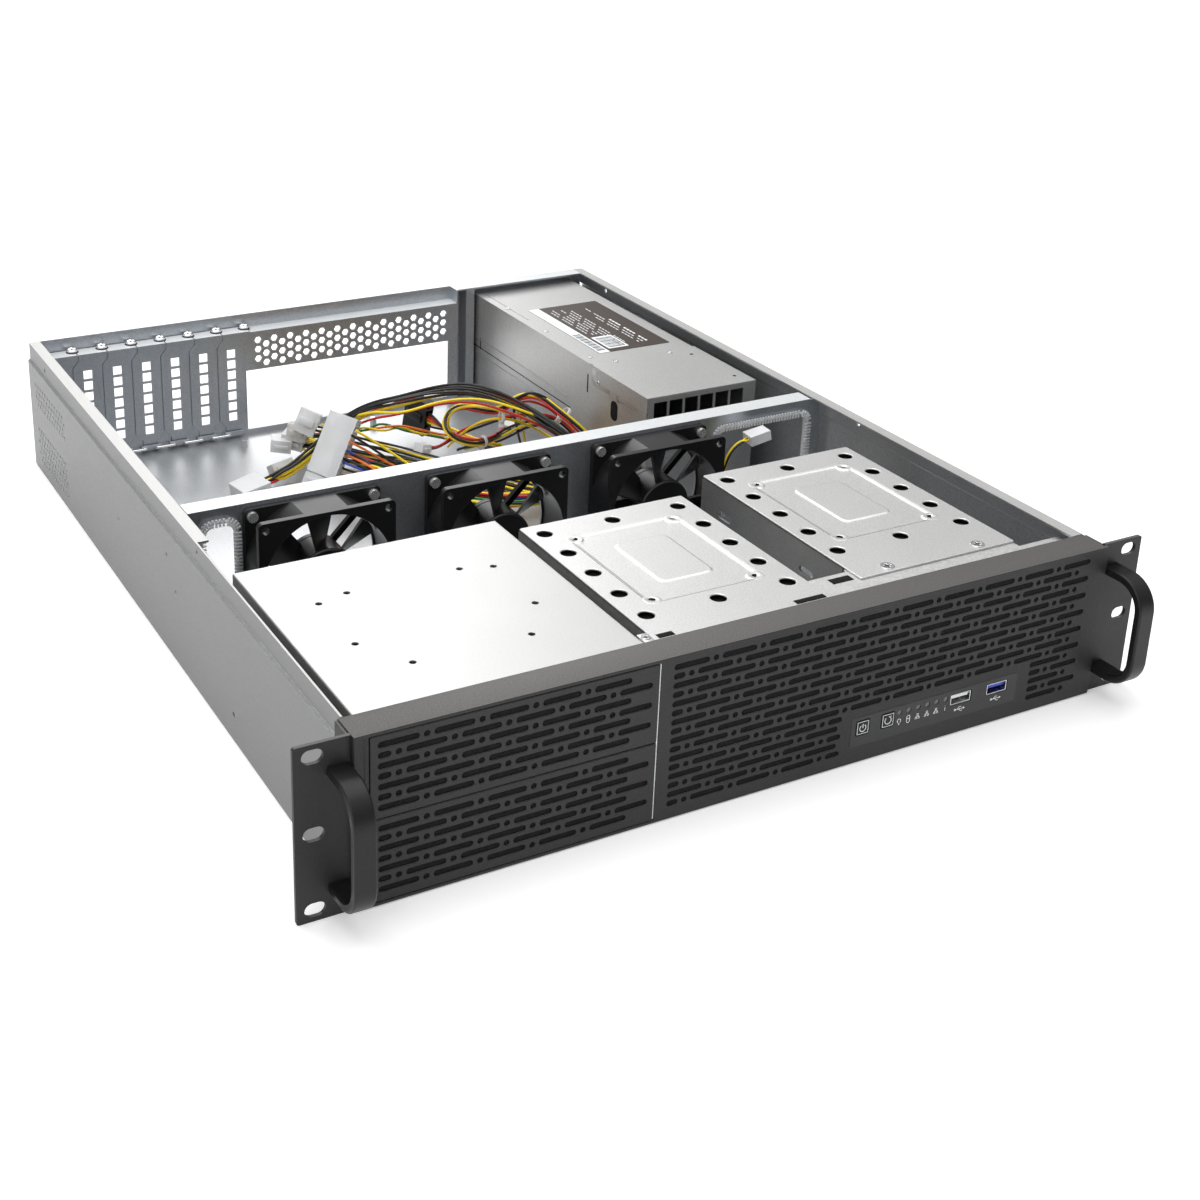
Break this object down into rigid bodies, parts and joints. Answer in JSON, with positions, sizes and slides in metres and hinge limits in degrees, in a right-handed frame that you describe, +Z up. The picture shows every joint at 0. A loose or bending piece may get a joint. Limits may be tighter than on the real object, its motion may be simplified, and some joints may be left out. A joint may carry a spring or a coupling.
{
  "type": "rack server case",
  "caption": "Two-unit rack server case with open top, grille bezel, bow handles, drive cages, fan wall, power supply and its leads.",
  "frame": {"origin": "on the ground, under the middle of the bounding box", "axes": "+X to the right seen from the front, -Y the front with the handles, +Z up"},
  "size_m": [0.4826, 0.5812, 0.088],
  "materials": {
    "side_steel": "satin, finely speckled zinc",
    "wall_steel": "satin, bluish",
    "cage_steel": "satin, bright",
    "psu_steel": "satin, speckled",
    "black_coat": "fine matt powder coat",
    "handle_coat": "satin black",
    "black_plastic": "matt",
    "clear_plastic": "milky, slightly see-through",
    "lead_black": "matt",
    "lead_yellow": "satin",
    "screw_steel": "bright",
    "filter_foam": "open foam",
    "label_paper": "satin",
    "board_green": "satin",
    "led_plastic": "clear",
    "brass": "satin"
  },
  "bodies": {
    "case": {"chassis_base": "side_steel", "rear_panel": "wall_steel", "fan_wall": "wall_steel", "slot_cover_1": "wall_steel", "slot_cover_2": "wall_steel", "slot_cover_3": "wall_steel", "slot_cover_4": "wall_steel", "slot_cover_5": "wall_steel", "slot_cover_6": "wall_steel", "slot_cover_7": "wall_steel", "bay_cage": "cage_steel", "drive_cage_middle": "cage_steel", "drive_cage_right": "cage_steel", "front_panel": "cage_steel", "psu_case_lower": "psu_steel", "psu_case_upper": "psu_steel", "psu_front_cover": "psu_steel", "bezel": "black_coat", "bay_cover_upper": "black_coat", "bay_cover_lower": "black_coat", "ear_left": "black_coat", "ear_right": "black_coat", "handle_left": "handle_coat", "handle_right": "handle_coat", "fan_frame_1": "black_plastic", "fan_frame_2": "black_plastic", "fan_frame_3": "black_plastic", "psu_fan_frame": "black_plastic", "psu_inlet": "black_plastic", "psu_gland": "black_plastic", "plug_sata": "black_plastic", "cable_grommets": "clear_plastic", "plug_main": "clear_plastic", "plug_cpu": "clear_plastic", "plug_drive": "clear_plastic", "plug_loop": "clear_plastic", "plug_fan": "clear_plastic", "lead_main": "lead_black", "lead_cpu": "lead_black", "lead_sata": "lead_black", "lead_arch": "lead_black", "lead_loop": "lead_black", "lead_fan": "lead_yellow", "slot_screws": "screw_steel", "fan_screws": "screw_steel", "case_screws": "screw_steel", "usb2_port": "screw_steel", "usb3_port": "screw_steel", "dust_filters": "filter_foam", "psu_label": "label_paper", "io_board": "board_green", "status_leds": "led_plastic", "standoffs": "brass"},
    "rotor_1": {"fan_rotor_1": "black_plastic"},
    "rotor_2": {"fan_rotor_2": "black_plastic"},
    "rotor_3": {"fan_rotor_3": "black_plastic"},
    "psu_rotor": {"psu_fan_rotor": "black_plastic"},
    "power_key": {"power_button": "black_plastic"},
    "reset_key": {"reset_button": "black_plastic"},
    "rocker": {"psu_switch": "black_plastic"}
  },
  "joints": [
    {"name": "fan_spin_1", "type": "hinge", "parent": "case", "child": "rotor_1", "pos_m": [-0.1347, -0.0305, 0.0446], "axis": [0, 1, 0], "continuous": true},
    {"name": "fan_spin_2", "type": "hinge", "parent": "case", "child": "rotor_2", "pos_m": [-0.0255, -0.0305, 0.0446], "axis": [0, 1, 0], "continuous": true},
    {"name": "fan_spin_3", "type": "hinge", "parent": "case", "child": "rotor_3", "pos_m": [0.0837, -0.0305, 0.0446], "axis": [0, 1, 0], "continuous": true},
    {"name": "psu_fan_spin", "type": "hinge", "parent": "case", "child": "psu_rotor", "pos_m": [0.1465, 0.2787, 0.05], "axis": [0, 1, 0], "continuous": true},
    {"name": "power_press", "type": "slide", "parent": "case", "child": "power_key", "axis": [0, 1, 0], "range_m": [0, 0.0008], "stiffness_N_per_m": 500, "springref_m": -0.0005},
    {"name": "reset_press", "type": "slide", "parent": "case", "child": "reset_key", "axis": [0, 1, 0], "range_m": [0, 0.0008], "stiffness_N_per_m": 500, "springref_m": -0.0005},
    {"name": "mains_rocker", "type": "hinge", "parent": "case", "child": "rocker", "pos_m": [0.1835, 0.2838, 0.0245], "axis": [1, 0, 0], "range_deg": [0, 16]}
  ]
}
